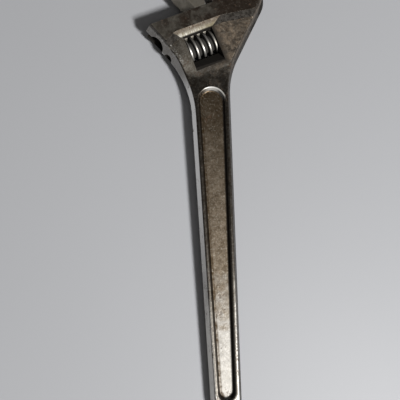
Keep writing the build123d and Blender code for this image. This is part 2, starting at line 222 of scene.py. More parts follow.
class WrenchStage(bpy.types.PropertyGroup):
    """Floor, lights and camera."""

    floor_colour: colour("Floor", "Pale table top", 0.455, 0.46, 0.475)
    floor_side: length("Floor side", "Side of the square floor", 6.0)
    zenith: colour("Zenith", "Dim light from overhead", 0.050, 0.048, 0.046)
    dim_side: colour("Dim side", "Light from the walls on the left and behind", 0.18, 0.18, 0.185)
    light_side: colour("Light side", "Light from the walls on the right and in front", 0.34, 0.34, 0.345)
    key_power: FloatProperty(
        name="Key power", description="Lamp that throws the shadow", default=75.0, min=0.0, subtype="POWER")
    key_side: length("Key side", "Side of the key lamp", 0.31, min=0.0)
    soft_power: FloatProperty(
        name="Soft power", description="Lamp that shines on the tail", default=0.42, min=0.0, subtype="POWER")
    soft_side: length("Soft side", "Side of the lamp over the tail", 0.3, min=0.0)
    camera_place: FloatVectorProperty(
        name="Camera place", description="Where the camera stands", subtype="TRANSLATION",
        default=(-0.048479, 0.140995, 0.3265), unit="LENGTH", precision=5)
    camera_turn: FloatVectorProperty(
        name="Camera turn", description="How the camera is turned", subtype="EULER",
        default=(math.radians(4.2892), math.radians(-5.9774), math.radians(-2.8041)))
    camera_lens: FloatProperty(
        name="Lens", description="Focal length, on a sensor of the same width", default=36.0,
        unit="CAMERA")


# Meshes

def grid_faces(rows, columns, wrap_rows):
    """Quads between neighbours on a grid whose columns close on themselves."""
    index = np.arange(rows * columns).reshape(rows, columns)
    right = np.roll(index, -1, axis=1)
    quads = np.stack((index, right, np.roll(right, -1, axis=0), np.roll(index, -1, axis=0)), axis=-1)
    return quads[: rows if wrap_rows else rows - 1].reshape(-1, 4).tolist()


def make_piece(name, points, faces):
    """New object at the origin from points and faces, shaded smooth but for its sharp edges."""
    mesh = bpy.data.meshes.new(name)
    mesh.from_pydata(points.reshape(-1, 3).tolist(), [], faces)
    mesh.validate()
    mesh.polygons.foreach_set("use_smooth", np.ones(len(mesh.polygons), bool))
    mesh.set_sharp_from_angle(angle=math.radians(SHARP_DEGREES))
    piece = bpy.data.objects.new(name, mesh)
    bpy.context.scene.collection.objects.link(piece)
    return piece


def round_worm_axis(along, out, angle):
    """Points in the row frame: along the worm's axis, and out from it, turned from the rack's side to the
    front."""
    radial = np.cos(angle)[..., None] * TO_RACK + np.sin(angle)[..., None] * FRONT
    return WORM_CENTRE + along[..., None] * WORM_AXIS + out[..., None] * radial


def off_crest(along, angle, sizes):
    """Distance along the axis from the middle of the nearest crest, which moves on by one pitch a turn."""
    return np.abs((along - sizes.thread_phase - PITCH * angle / TURN + PITCH / 2) % PITCH - PITCH / 2)


def thread_radius(along, angle, sizes):
    """Radius of the right-hand thread. The distance from the nearest crest gives the share s of the flank
    climbed, eased to s*s*(3 - 2*s); the end rims are rounded by a quarter circle."""
    from_crest = off_crest(along, angle, sizes)
    climb = (sizes.foot_width / 2 - from_crest) / (sizes.foot_width / 2 - sizes.crest_width / 2)
    share = np.clip(climb, 0, 1)
    radius = sizes.root_radius + (sizes.crest_radius - sizes.root_radius) * share * share * (3 - 2 * share)
    into_end = np.clip(np.abs(along) - sizes.worm_length / 2 + sizes.end_round, 0, sizes.end_round)
    dropped = sizes.end_round - np.sqrt(sizes.end_round ** 2 - into_end ** 2)
    return np.minimum(radius, sizes.crest_radius - dropped)


def worm_points(sizes, turns=160, steps=220, rings=5):
    """Closed worm as a grid of turn angle by the way round its section: along the thread, in over the right
    end, down the spring's pocket, along the bore and out over the left end. Also gives each point's closeness
    to the middle of the crest."""
    half = sizes.worm_length / 2
    angle = np.linspace(0, TURN, turns, endpoint=False)[:, None]
    share = np.linspace(0, 1, rings, endpoint=False)
    outer_along = np.broadcast_to(np.linspace(-half, half, steps), (turns, steps))
    outer = thread_radius(outer_along, angle, sizes)
    stations = [
        (half, sizes.pocket_radius),
        (half - sizes.pocket_depth, sizes.pocket_radius),
        (half - sizes.pocket_depth, sizes.bore_radius),
        (-half, sizes.bore_radius),
        (-half, outer[:, :1]),
    ]
    along, out = [outer_along], [outer]
    here_along, here_out = half, outer[:, -1:]
    for next_along, next_out in stations:
        along.append(np.broadcast_to(here_along + (next_along - here_along) * share, (turns, rings))[:, 1:])
        out.append(np.broadcast_to(here_out + (next_out - here_out) * share, (turns, rings))[:, 1:])
        along.append(np.full((turns, 1), next_along))
        out.append(np.broadcast_to(next_out, (turns, 1)))
        here_along, here_out = next_along, next_out
    along = np.concatenate(along, axis=1)[:, :-1]
    out = np.concatenate(out, axis=1)[:, :-1]
    from_crest = off_crest(along, angle, sizes)
    crest = np.clip(1 - from_crest / (sizes.foot_width / 2), 0, 1) * (out > sizes.root_radius)
    return round_worm_axis(along, out, np.broadcast_to(angle, along.shape)), crest


def spring_points(sizes, steps=48, sides=14):
    """Spring as a circle carried along a helix: rings of points, square to the wire."""
    wire = sizes.spring_wire / 2
    middle = (SPRING_OUT.max() + SPRING_OUT.min()) / 2
    start, end = SPRING_ALONG.min() + wire, SPRING_ALONG.max() - wire
    angle = np.linspace(0, TURN * sizes.spring_turns, steps * sizes.spring_turns + 1)
    along = np.linspace(start, end, len(angle))
    centre = round_worm_axis(along, np.full_like(angle, middle), angle)
    path = np.gradient(centre, axis=0)
    path /= np.linalg.norm(path, axis=1)[:, None]
    radial = centre - WORM_CENTRE - along[:, None] * WORM_AXIS
    radial /= np.linalg.norm(radial, axis=1)[:, None]
    across = np.cross(path, radial)
    ring = np.linspace(0, TURN, sides, endpoint=False)[None, :, None]
    return centre[:, None] + wire * (np.cos(ring) * radial[:, None] + np.sin(ring) * across[:, None])


# Shader nodes

def place(tree, kind, sockets=None, **options):
    """Adds a node, sets its options, and fills its inputs with constants or links."""
    made = tree.nodes.new(kind)
    for option, value in options.items():
        setattr(made, option, value)
    for key, value in (sockets or {}).items():
        if isinstance(value, bpy.types.NodeSocket):
            tree.links.new(value, made.inputs[key])
        else:
            made.inputs[key].default_value = value
    return made


def maths(tree, operation, *values, clamp=False):
    """One sum on values or sockets."""
    sockets = dict(enumerate(values))
    return place(tree, "ShaderNodeMath", sockets, operation=operation, use_clamp=clamp).outputs[0]


def rise(tree, value, low, high):
    """Smooth step from 0 at low to 1 at high."""
    sockets = {"Value": value, "From Min": low, "From Max": high}
    return place(tree, "ShaderNodeMapRange", sockets, interpolation_type="SMOOTHSTEP").outputs["Result"]


def without(tree, mask):
    """What a mask leaves."""
    return maths(tree, "SUBTRACT", 1.0, mask)


def fall(tree, value, low, high):
    """Smooth step from 1 at low to 0 at high."""
    return without(tree, rise(tree, value, low, high))


def between(tree, value, low, high, soft):
    """Mask of values from low to high, with soft ends outside them."""
    return product(tree, rise(tree, value, low - soft, low), fall(tree, value, high, high + soft))


def scaled(tree, value, share):
    """A share of a value."""
    return maths(tree, "MULTIPLY", value, share)


def lifted(tree, value, least, share):
    """A least value, and a share of a value on top of it."""
    return maths(tree, "ADD", least, scaled(tree, value, share))


def off_mean(tree, cloud):
    """Noise measured from its mean."""
    return maths(tree, "SUBTRACT", cloud, 0.5)


def most(tree, first, *others):
    """Largest of several values."""
    for other in others:
        first = maths(tree, "MAXIMUM", first, other)
    return first


def round_axis(tree, first, second):
    """Distance from an axis, from two distances square to it and to each other."""
    squares = (maths(tree, "POWER", first, 2.0), maths(tree, "POWER", second, 2.0))
    return maths(tree, "SQRT", maths(tree, "ADD", *squares))


def product(tree, first, *others):
    """All values multiplied."""
    for other in others:
        first = maths(tree, "MULTIPLY", first, other)
    return first


def over(tree, mask, under, top):
    """Colour top laid over colour under by a mask."""
    sockets = {0: mask, 6: under, 7: top}
    return place(tree, "ShaderNodeMix", sockets, data_type="RGBA").outputs[2]


def noise(tree, place_socket, scale, detail, roughness=0.5, distortion=0.0):
    """Fractal noise with a mean near one half."""
    sockets = {"Vector": place_socket, "Scale": scale, "Detail": detail, "Roughness": roughness,
               "Distortion": distortion}
    return place(tree, "ShaderNodeTexNoise", sockets).outputs["Fac"]


def new_group(name, inputs, outputs):
    """Empty shader node group with float inputs (name: default) and float outputs."""
    group = bpy.data.node_groups.new(name, "ShaderNodeTree")
    for socket, default in inputs.items():
        made = group.interface.new_socket(name=socket, in_out="INPUT", socket_type="NodeSocketFloat")
        made.default_value = default
    for socket in outputs:
        group.interface.new_socket(name=socket, in_out="OUTPUT", socket_type="NodeSocketFloat")
    return group, group.nodes.new("NodeGroupInput").outputs, group.nodes.new("NodeGroupOutput").inputs


def edge_wear_group():
    """Mask of outer edges: how little of the metal's inside lies open under the surface, broken up by
    noise."""
    group, given, put = new_group("Edge wear", {"Reach": 0.002, "Grain": 400.0}, ["Mask"])
    inside = place(group, "ShaderNodeAmbientOcclusion", {"Distance": given["Reach"]},
                   inside=True, only_local=True, samples=OCCLUSION_SAMPLES)
    here = group.nodes.new("ShaderNodeTexCoord").outputs["Object"]
    patchy = noise(group, here, given["Grain"], detail=3.0)
    thin = without(group, inside.outputs["AO"])
    ragged, shown_from, shown_to = 0.5, 0.42, 0.72
    shown = maths(group, "ADD", thin, scaled(group, off_mean(group, patchy), ragged))
    group.links.new(rise(group, shown, shown_from, shown_to), put["Mask"])
    return group


def grime_group():
    """Mask of corners and hollows, where little open space is near."""
    group, given, put = new_group("Corner grime", {"Reach": 0.006, "Grain": 260.0}, ["Mask"])
    around = place(group, "ShaderNodeAmbientOcclusion", {"Distance": given["Reach"]},
                   only_local=True, samples=OCCLUSION_SAMPLES)
    here = group.nodes.new("ShaderNodeTexCoord").outputs["Object"]
    patchy = noise(group, here, given["Grain"], detail=4.0)
    closed = without(group, around.outputs["AO"])
    ragged, shown_from, shown_to = 0.35, 0.22, 0.75
    shown = maths(group, "ADD", closed, scaled(group, off_mean(group, patchy), ragged))
    group.links.new(rise(group, shown, shown_from, shown_to), put["Mask"])
    return group


def stain_group():
    """Soft blotches: fractal noise between two levels."""
    group, given, put = new_group("Stains", {"Spacing": 0.02, "Low": 0.4, "High": 0.65}, ["Mask"])
    here = group.nodes.new("ShaderNodeTexCoord").outputs["Object"]
    scale = maths(group, "DIVIDE", 1.0, given["Spacing"])
    cloud = noise(group, here, scale, detail=5.0, roughness=0.6, distortion=0.3)
    group.links.new(rise(group, cloud, given["Low"], given["High"]), put["Mask"])
    return group


def pit_group():
    """Small pits: spots round scattered points, each kept or not by noise of a larger scale."""
    group, given, put = new_group("Pits", {"Spacing": 0.002, "Cover": 0.5}, ["Mask", "Height"])
    here = group.nodes.new("ShaderNodeTexCoord").outputs["Object"]
    scale = maths(group, "DIVIDE", 1.0, given["Spacing"])
    spots = place(group, "ShaderNodeTexVoronoi", {"Vector": here, "Scale": scale, "Randomness": 1.0},
                  feature="SMOOTH_F1").outputs["Distance"]
    patch_scale, spread, rim_from, rim_to = 0.22, 1.6, -0.08, 0.12
    patchy = noise(group, here, scaled(group, scale, patch_scale), detail=3.0)
    kept = maths(group, "ADD", patchy, maths(group, "SUBTRACT", given["Cover"], 1.0))
    mask = rise(group, maths(group, "SUBTRACT", scaled(group, kept, spread), spots), rim_from, rim_to)
    group.links.new(mask, put["Mask"])
    group.links.new(without(group, mask), put["Height"])
    return group


def use_group(tree, group, **inputs):
    """Places a node group with its own values."""
    return place(tree, "ShaderNodeGroup", inputs, node_tree=group).outputs


EFFECTS = {}


def effect(name, make):
    """A shared node group, built once."""
    if name not in EFFECTS:
        EFFECTS[name] = make()
    return EFFECTS[name]


def opaque(colour_value):
    """Colour with full alpha for a colour socket."""
    return (*colour_value, 1.0)


def new_metal(name):
    """Material with an empty tree but for its shader and output."""
    material = bpy.data.materials.new(name)
    material.use_nodes = True
    tree = material.node_tree
    shader = tree.nodes["Principled BSDF"]
    return material, tree, shader


def feed(tree, shader, base, metallic, roughness, height, strength, distance):
    """Links colour, metal, roughness and bump to the shader."""
    tree.links.new(base, shader.inputs["Base Color"])
    tree.links.new(metallic, shader.inputs["Metallic"])
    tree.links.new(roughness, shader.inputs["Roughness"])
    bump = place(tree, "ShaderNodeBump", {"Height": height, "Strength": strength, "Distance": distance})
    tree.links.new(bump.outputs["Normal"], shader.inputs["Normal"])


def dot(tree, vector, direction, offset):
    """Distance of a point along a direction, from an offset."""
    sockets = {0: vector, 1: tuple(direction)}
    product_node = place(tree, "ShaderNodeVectorMath", sockets, operation="DOT_PRODUCT")
    return maths(tree, "SUBTRACT", product_node.outputs["Value"], offset)


def body_places(tree):
    """Where a point of the body lies, in the row frame and along and across the worm's axis, and how its face
    is turned."""
    lower_right = (0.87, -0.5, 0.0)
    coordinates = tree.nodes.new("ShaderNodeTexCoord").outputs
    here, normal = coordinates["Object"], coordinates["Normal"]
    where = place(tree, "ShaderNodeSeparateXYZ", {0: here}).outputs
    facing = place(tree, "ShaderNodeSeparateXYZ", {0: normal}).outputs
    return SimpleNamespace(
        here=here, x=where["X"], y=where["Y"], z=where["Z"],
        off_middle=maths(tree, "ABSOLUTE", where["Z"]),
        level=maths(tree, "ABSOLUTE", facing["Z"]),
        to_left=scaled(tree, facing["X"], -1.0),
        to_right=most(tree, facing["X"], dot(tree, normal, lower_right, 0.0)),
        along=dot(tree, here, WORM_AXIS, float(WORM_CENTRE @ WORM_AXIS)),
        rack_side=dot(tree, here, TO_RACK, float(WORM_CENTRE @ TO_RACK)))


def blotches(tree, spacing, low, high):
    """Mask of soft blotches."""
    return use_group(tree, effect("stains", stain_group), Spacing=spacing, Low=low, High=high)["Mask"]


def body_grain(tree, finish, at):
    """Noise of the body's finish: stains, blotches of several sizes, streaks across the step, pits, edge wear
    and dirt in corners."""
    squeeze, streak_scale, pit_cover = 0.25, 900.0, 0.56
    grain = SimpleNamespace()
    for name, (size, low, high) in BLOTCHES.items():
        setattr(grain, name, blotches(tree, finish.mottle_size * size, low, high))
    grain.stains = blotches(tree, finish.stain_size, *STAIN_LEVELS)
    step_place = {"X": at.along, "Y": scaled(tree, at.rack_side, squeeze)}
    across_step = place(tree, "ShaderNodeCombineXYZ", step_place).outputs[0]
    grain.streaks = rise(tree, noise(tree, across_step, streak_scale, detail=3.0), *STREAK_LEVELS)
    pits = use_group(tree, effect("pits", pit_group), Spacing=finish.pit_size, Cover=pit_cover)
    grain.pits, grain.pit_height = pits["Mask"], pits["Height"]
    grain.wear = use_group(tree, effect("wear", edge_wear_group), Reach=finish.wear_reach)["Mask"]
    grain.dirt = use_group(tree, effect("grime", grime_group), Reach=finish.grime_reach)["Mask"]
    return grain


def hollow_mask(tree, at):
    """Painted shade: insides of the worm's window with its scallop, the keyhole bore with its slot, the screw's
    hole and the hang hole, each a little larger than the hole, painted near black where shade falls in them."""
    window = product(tree, between(tree, at.along, -WINDOW_HALF, WINDOW_HALF, HOLE_SOFT),
                     between(tree, at.rack_side, WINDOW_LOW, WINDOW_HIGH, HOLE_SOFT))
    off_bore = round_axis(tree, maths(tree, "SUBTRACT", at.rack_side, BORE_OVER_WORM), at.z)
    slot = product(tree, fall(tree, at.off_middle, *SLOT_EDGE),
                   between(tree, at.rack_side, *SLOT_SPAN, SLOT_SOFT), fall(tree, at.along, *SLOT_END))
    screw = fall(tree, round_axis(tree, at.rack_side, at.z), *SCREW_EDGE)
    hang = fall(tree, round_axis(tree, at.x, at.y), *HANG_EDGE)
    return most(tree, window, fall(tree, off_bore, *BORE_EDGE), slot, screw, hang)


def handle_regions(tree, at, on):
    """Adds the handle's regions: the panel's floor, its shaded wall, a painted highlight on its upper rim, and the
    sides outside it.
    """
    rim_span, rim_soft, rim_start, rim_side = (0.0102, 0.0117), 0.0006, 0.006, (-0.009, 0.0)
    past_high = maths(tree, "SUBTRACT", at.y, PANEL_HIGH)
    past_low = maths(tree, "SUBTRACT", PANEL_LOW, at.y)
    off_panel = round_axis(tree, maths(tree, "ABSOLUTE", at.x), most(tree, past_high, past_low, 0.0))
    on.taper = maths(tree, "SUBTRACT", off_panel, scaled(tree, at.y, PANEL_WIDENING))
    on.inside = fall(tree, on.taper, *PANEL_EDGE)
    on.outside = without(tree, on.inside)
    on.low = fall(tree, at.off_middle, *PANEL_FLOOR)
    on.floor = product(tree, on.inside, on.low, rise(tree, at.level, *FLOOR_LEVEL))
    off_floor = without(tree, on.floor)
    wall = product(tree, on.inside, off_floor, fall(tree, at.off_middle, *PANEL_WALL))
    # painted shade: the panel's wall that faces left, away from the key lamp, is painted dark later
    on.shaded_wall = product(tree, wall, rise(tree, at.to_left, *WALL_TURN))
    # painted highlight: the right half of the panel's upper rim is painted bare steel as a bright arc
    on.top_rim = product(tree, between(tree, off_panel, *rim_span, rim_soft),
                         rise(tree, at.y, PANEL_HIGH, PANEL_HIGH + rim_start), off_floor,
                         rise(tree, at.x, *rim_side))
    on.left = product(tree, on.outside, rise(tree, at.to_left, *LEFT_TURN))
    on.right = product(tree, on.outside, rise(tree, at.to_right, *RIGHT_TURN))


def head_regions(tree, at, grain, on):
    """Adds the head's regions: cheeks, raised strip, the step between them over and beside the worm, and the
    worn margin of the left side's hollow curve."""
    # ends of the step's straight middle along the worm's axis, how far they lean in per drop, and their fades
    left_end, left_lean, left_soft = 0.0202, 2.05, 0.0008
    right_end, right_lean, right_soft = 0.0236, 3.96, 0.0012
    low_step_top = (0.0103, 0.0119)
    step = product(tree, between(tree, at.off_middle, *STEP_SPAN, STEP_SOFT),
                   fall(tree, at.level, *STEP_LEVEL), rise(tree, at.y, *STEP_START))
    drop = maths(tree, "SUBTRACT", HEAD_HALF, at.off_middle)
    from_left = maths(tree, "ADD", at.along, left_end)
    from_left = maths(tree, "SUBTRACT", from_left, scaled(tree, drop, left_lean))
    from_right = maths(tree, "SUBTRACT", right_end, at.along)
    from_right = maths(tree, "SUBTRACT", from_right, scaled(tree, drop, right_lean))
    on.over_worm = product(tree, step, rise(tree, from_left, 0.0, left_soft),
                           rise(tree, from_right, 0.0, right_soft))
    on.beside_worm = maths(tree, "SUBTRACT", step, on.over_worm)
    on.low_step = product(tree, on.over_worm, fall(tree, at.off_middle, *low_step_top))
    on.strip = product(tree, rise(tree, at.off_middle, *STRIP_EDGE), rise(tree, at.level, *STRIP_LEVEL))
    on.cheek = product(tree, on.head, rise(tree, at.level, *CHEEK_LEVEL),
                       fall(tree, at.off_middle, *CHEEK_EDGE))

    ring_span, ring_soft = (0.0826, 0.0870), 0.0008
    length_span, length_soft = (0.282, 0.294), 0.014
    height_span, height_soft = (0.0080, 0.0103), 0.0002
    flare_x, flare_y = FLARE_CENTRE
    off_flare = round_axis(tree, maths(tree, "SUBTRACT", at.x, flare_x),
                           maths(tree, "SUBTRACT", at.y, flare_y))
    on.margin = product(tree, between(tree, off_flare, *ring_span, ring_soft),
                        between(tree, at.y, *length_span, length_soft),
                        between(tree, at.off_middle, *height_span, height_soft), grain.crumbs)


def body_regions(tree, at, grain):
    """Masks of the body's regions. Stations along the handle waver with the large stains."""
    waver_reach = 0.05
    on = SimpleNamespace()
    on.waver = scaled(tree, off_mean(tree, grain.stains), waver_reach)
    on.station = maths(tree, "ADD", at.y, on.waver)
    on.tail = fall(tree, on.station, *TAIL_END)
    on.head = rise(tree, on.station, *HEAD_START)
    handle_regions(tree, at, on)
    head_regions(tree, at, grain, on)
    on.holes = hollow_mask(tree, at)
    return on


def handle_films(tree, at, grain, on, film):
    """Adds the handle's films: brown on the panel, bare steel towards the tail that is partly cleaner metal and
    partly a painted sheen, and tarnish on the left side, which near the tail is painted shade.
    """
    rail_share, flank_share, tail_cleaning, mottle_share, patch_share = 0.8, 0.85, 0.9, 0.45, 0.42
    border_span, border_side = (0.0020, 0.0038), (-0.003, 0.0)
    # painted sheen, partly real: bare steel on the tail's floor and rails stands in for the soft lamp's reflection
    # there
    film.tail_floor = product(tree, on.floor, on.tail)
    film.tail_rail = product(tree, on.outside, on.tail, rail_share)
    clean_flank = scaled(tree, rise(tree, at.y, *FLANK_END), flank_share)
    flank = product(tree, rise(tree, at.y, *FLANK_START), maths(tree, "SUBTRACT", flank_share, clean_flank))
    # tarnish on the head's left flank, and on the left side darker towards the tail as painted shade
    film.tarnished = product(tree, on.left, most(tree, flank, fall(tree, at.y, *LEFT_TARNISH_END)))
    film.browned = product(tree, on.floor, without(tree, scaled(tree, on.tail, tail_cleaning)))
    film.deep_brown = product(tree, film.browned, rise(tree, on.station, *DEEP_BROWN_START))
    film.border = product(tree, on.inside, rise(tree, on.taper, *border_span), fall(tree, at.x, *border_side),
                          on.low, lifted(tree, grain.mottle, *BORDER_STRENGTH))
    film.panel_mottle = product(tree, film.browned, grain.mottle, mottle_share)
    film.panel_patches = product(tree, film.browned, grain.patches, patch_share)
    film.rail_spots = product(tree, film.tail_rail, without(tree, on.left), grain.spots)


def head_films(tree, at, grain, on, film):
    """Adds the head's films: brown on the right of the cheeks, along the right edge and on the strip, grey on the
    left of the cheeks, and the bright rubbing on the step, partly rubbed steel and partly a painted highlight that
    fades to the right."""
    edge_height = (0.0040, 0.0080)
    film.cheek = product(tree, on.cheek, rise(tree, on.station, *CHEEK_FILM_START),
                         rise(tree, at.along, *WINDOW_CROSSING), lifted(tree, grain.mottle, *CHEEK_STRENGTH))
    film.edge = product(tree, on.right, on.head, rise(tree, at.off_middle, *edge_height),
                        lifted(tree, grain.mottle, *EDGE_STRENGTH))
    film.grey_cheek = product(tree, on.cheek, fall(tree, at.along, *GREY_CHEEK_END),
                              rise(tree, at.y, *GREY_CHEEK_START))
    wavering = maths(tree, "ADD", at.along, on.waver)
    film.strip_brown = product(tree, on.strip, rise(tree, wavering, *STRIP_BROWN_START))
    film.strip_grey = maths(tree, "SUBTRACT", on.strip, film.strip_brown)
    film.rubbed = product(tree, on.low_step, lifted(tree, grain.streaks, *RUB_STRENGTH),
                          fall(tree, at.along, *RUB_END))


def body_dirt(tree, at, grain, on, film):
    """Adds what lies over the films: rust specks, dark freckles, light flecks and dirt in corners, and painted
    shade in holes, on the panel's shaded wall, on the step beside the worm and round the window."""
    freckle_share, tail_thinning, strip_thinning, film_thinning = 0.6, 0.35, 0.3, 0.15
    wall_share, smear_reach = 0.9, 0.0065
    off_left = without(tree, on.left)
    pitted = most(tree, on.head, film.tail_rail)
    film.specks = product(tree, grain.pits, lifted(tree, pitted, *SPECK_STRENGTH))
    thinned = most(tree, scaled(tree, on.tail, tail_thinning), scaled(tree, on.strip, strip_thinning),
                   scaled(tree, film.cheek, film_thinning))
    film.freckled = product(tree, most(tree, grain.smudge, grain.freckle), off_left,
                            maths(tree, "SUBTRACT", freckle_share, thinned))
    film.light_flecks = product(tree, grain.fleck, off_left, lifted(tree, film.browned, *FLECK_STRENGTH))
    past_side = maths(tree, "SUBTRACT", maths(tree, "ABSOLUTE", at.along), WINDOW_HALF)
    past_low = maths(tree, "SUBTRACT", WINDOW_LOW, at.rack_side)
    off_window = round_axis(tree, most(tree, past_side, 0.0), most(tree, past_low, 0.0))
    # painted shade round the worm's window, fading out over the cheek, stronger on its right
    smear = product(tree, on.cheek, fall(tree, off_window, 0.0, smear_reach),
                    lifted(tree, rise(tree, at.along, *WINDOW_CROSSING), *SMEAR_STRENGTH))
    # painted shade: the step beside the worm is painted dark
    step_dirt = product(tree, on.beside_worm, lifted(tree, grain.smudge, *STEP_DIRT_STRENGTH))
    # dirt in corners, and painted shade in holes, on the shaded wall, beside and round the window
    film.dirty = most(tree, grain.dirt, scaled(tree, on.shaded_wall, wall_share), step_dirt, smear, on.holes)


def body_films(tree, at, grain, on):
    """Masks of the films, wear and dirt that lie on the body's regions."""
    film = SimpleNamespace()
    handle_films(tree, at, grain, on, film)
    head_films(tree, at, grain, on, film)
    body_dirt(tree, at, grain, on, film)
    return film


def layered(tree, under, layers):
    """Colours laid over one another in order: each layer is a mask, its share and its colour."""
    base = opaque(under)
    for mask, share, top in layers:
        base = over(tree, scaled(tree, mask, share), base, opaque(top))
    return base


def body_colour(tree, finish, grain, on, film):
    """Colour of the body: films, wear and dirt over dark oxide, with painted shade, painted sheen and painted
    highlights.
    """
    tail_floor_share, grey_cheek_share = 0.6, 0.4
    # bare steel at the tail, partly cleaner metal and partly painted sheen
    bare_tail = most(tree, scaled(tree, film.tail_floor, tail_floor_share), film.tail_rail)
    greyed = most(tree, film.strip_grey, scaled(tree, film.grey_cheek, grey_cheek_share))
    return layered(tree, finish.oxide, (
        (on.left, 1.0, finish.plating),
        # tarnish, and painted shade on the left side towards the tail
        (film.tarnished, 1.0, finish.oxide),
        (bare_tail, 1.0, finish.bare),
        (film.browned, 1.0, finish.patina),
        (film.deep_brown, 0.8, finish.umber),
        (film.cheek, 1.0, finish.film),
        (film.strip_brown, 0.6, finish.rust),
        (greyed, 1.0, finish.tarnish),
        (on.right, 0.8, finish.grime),
        (film.edge, 1.0, finish.film),
        (most(tree, film.freckled, film.border, film.panel_mottle), 1.0, finish.umber),
        (most(tree, film.panel_patches, film.rail_spots), 1.0, finish.umber),
        (film.light_flecks, 1.0, finish.tarnish),
        (film.specks, 1.0, finish.rust),
        (grain.wear, 0.3, finish.bare),
        (on.over_worm, 0.38, finish.umber),
        (on.low_step, 1.0, finish.olive),
        # painted highlights: the rubbed step as it fades to the right, and the panel's upper rim
        (most(tree, film.rubbed, on.top_rim), 1.0, finish.bare),
        # one dark colour for dirt and for painted shade
        (film.dirty, 0.97, finish.grime),
        (on.margin, 0.85, finish.bare),
    ))


def body_polish(tree, at, grain, on, film):
    """Metal, roughness and height of the body: films, dirt and painted shade are dull, the clean left side is
    smooth.
    """
    film_dulling, rim_dulling, metal_loss = 0.7, 0.6, 0.9
    filmed = scaled(tree, most(tree, film.cheek, film.edge), film_dulling)
    dull = most(tree, film.specks, film.dirty, filmed, scaled(tree, on.top_rim, rim_dulling))
    metallic = without(tree, scaled(tree, dull, metal_loss))

    tail_share, strip_share, left_polish, flank_share = 0.6, 0.7, 0.12, 0.3
    mottle_share, dirt_share = 0.08, 0.6
    rough = most(tree, film.browned, on.over_worm, on.top_rim, film.tail_floor, film.cheek, film.grey_cheek,
                 on.margin, scaled(tree, on.tail, tail_share), scaled(tree, on.strip, strip_share))
    flank = scaled(tree, rise(tree, at.y, *FLANK_DULLING), flank_share)
    polished = product(tree, on.left, maths(tree, "SUBTRACT", left_polish, flank))
    roughness = maths(tree, "SUBTRACT", lifted(tree, rough, *BODY_ROUGHNESS), polished)
    roughness = lifted(tree, grain.mottle, roughness, mottle_share)
    roughness = maths(tree, "ADD", roughness, scaled(tree, film.dirty, dirt_share), clamp=True)

    lump_scale, grain_scale, pit_share, grain_share = 220.0, 1400.0, 0.25, 0.18
    lumps = noise(tree, at.here, lump_scale, detail=4.0)
    height = lifted(tree, grain.pit_height, lumps, pit_share)
    height = lifted(tree, noise(tree, at.here, grain_scale, detail=2.0), height, grain_share)
    return metallic, roughness, height


def worn_forging(finish):
    """Old plated forging: dark rails and head, a brown panel, rails and panel that turn to bare steel towards the
    tail, partly cleaner metal and partly a painted sheen, dirt along the panel's walls with painted shade on its
    left-facing wall and in every hole, a painted highlight on the panel's upper rim, and a step over the worm
    rubbed bright, partly by thumbs and partly as a painted highlight."""
    bump_strength, bump_distance, reflection = 0.3, 0.0004, 0.25
    material, tree, shader = new_metal("worn_forging")
    at = body_places(tree)
    grain = body_grain(tree, finish, at)
    on = body_regions(tree, at, grain)
    film = body_films(tree, at, grain, on)
    base = body_colour(tree, finish, grain, on, film)
    feed(tree, shader, base, *body_polish(tree, at, grain, on, film), bump_strength, bump_distance)
    shader.inputs["Specular IOR Level"].default_value = reflection
    return material


def rubbed_steel(name, finish, bright, dark, wear_reach, dirt_reach, smoothest, crest=None):
    """Machined steel: a dark film, rubbed bright on its edges, with dirt in its hollows. A crest attribute,
    from 0 in a thread's valley to 1 on its middle line, keeps dirt in the valleys."""
    stain_levels, mottle_levels = (0.38, 0.64), (0.45, 0.65)
    material, tree, shader = new_metal(name)
    here = tree.nodes.new("ShaderNodeTexCoord").outputs["Object"]
    mottle = blotches(tree, finish.mottle_size / 2, *mottle_levels)
    wear = use_group(tree, effect("wear", edge_wear_group), Reach=wear_reach)["Mask"]
    dirt = use_group(tree, effect("grime", grime_group), Reach=dirt_reach)["Mask"]
    if crest:
        valley_end, corner_share = (0.58, 0.85), 0.4
        height = place(tree, "ShaderNodeAttribute", attribute_name=crest).outputs["Fac"]
        dirt = most(tree, scaled(tree, dirt, corner_share), fall(tree, height, *valley_end))
    film_share, film_roughness, dirt_roughness, metal_loss = 0.5, 0.2, 0.45, 0.8
    film = scaled(tree, blotches(tree, finish.stain_size / 2, *stain_levels), film_share)
    base = layered(tree, bright, (
        (film, 1.0, dark),
        (mottle, 0.3, finish.film),
        (wear, 0.8, finish.bare),
        (dirt, 0.94, finish.grime),
    ))
    metallic = without(tree, scaled(tree, dirt, metal_loss))
    dulled = most(tree, scaled(tree, film, film_roughness), scaled(tree, dirt, dirt_roughness))
    roughness = maths(tree, "ADD", smoothest, dulled)
    scratch_scale, bump_strength, bump_distance = 900.0, 0.2, 0.0002
    scratches = noise(tree, here, scratch_scale, detail=3.0)
    feed(tree, shader, base, metallic, roughness, scratches, bump_strength, bump_distance)
    return material


def table_top(stage):
    """Pale smooth table with a trace of cloudiness."""
    material, tree, shader = new_metal("pale_table")
    here = tree.nodes.new("ShaderNodeTexCoord").outputs["Object"]
    cloud_scale, cloud_shade, table_roughness = 4.0, 0.96, 0.6
    cloud = noise(tree, here, cloud_scale, detail=2.0)
    pale = opaque(stage.floor_colour)
    shade = opaque([cloud_shade * part for part in stage.floor_colour])
    tree.links.new(over(tree, cloud, pale, shade), shader.inputs["Base Color"])
    shader.inputs["Roughness"].default_value = table_roughness
    return material


def dress(node, material):
    """Gives a solid's object its finish."""
    for slot in frame["nodes"][node].material_slots:
        slot.material = material


# Operators

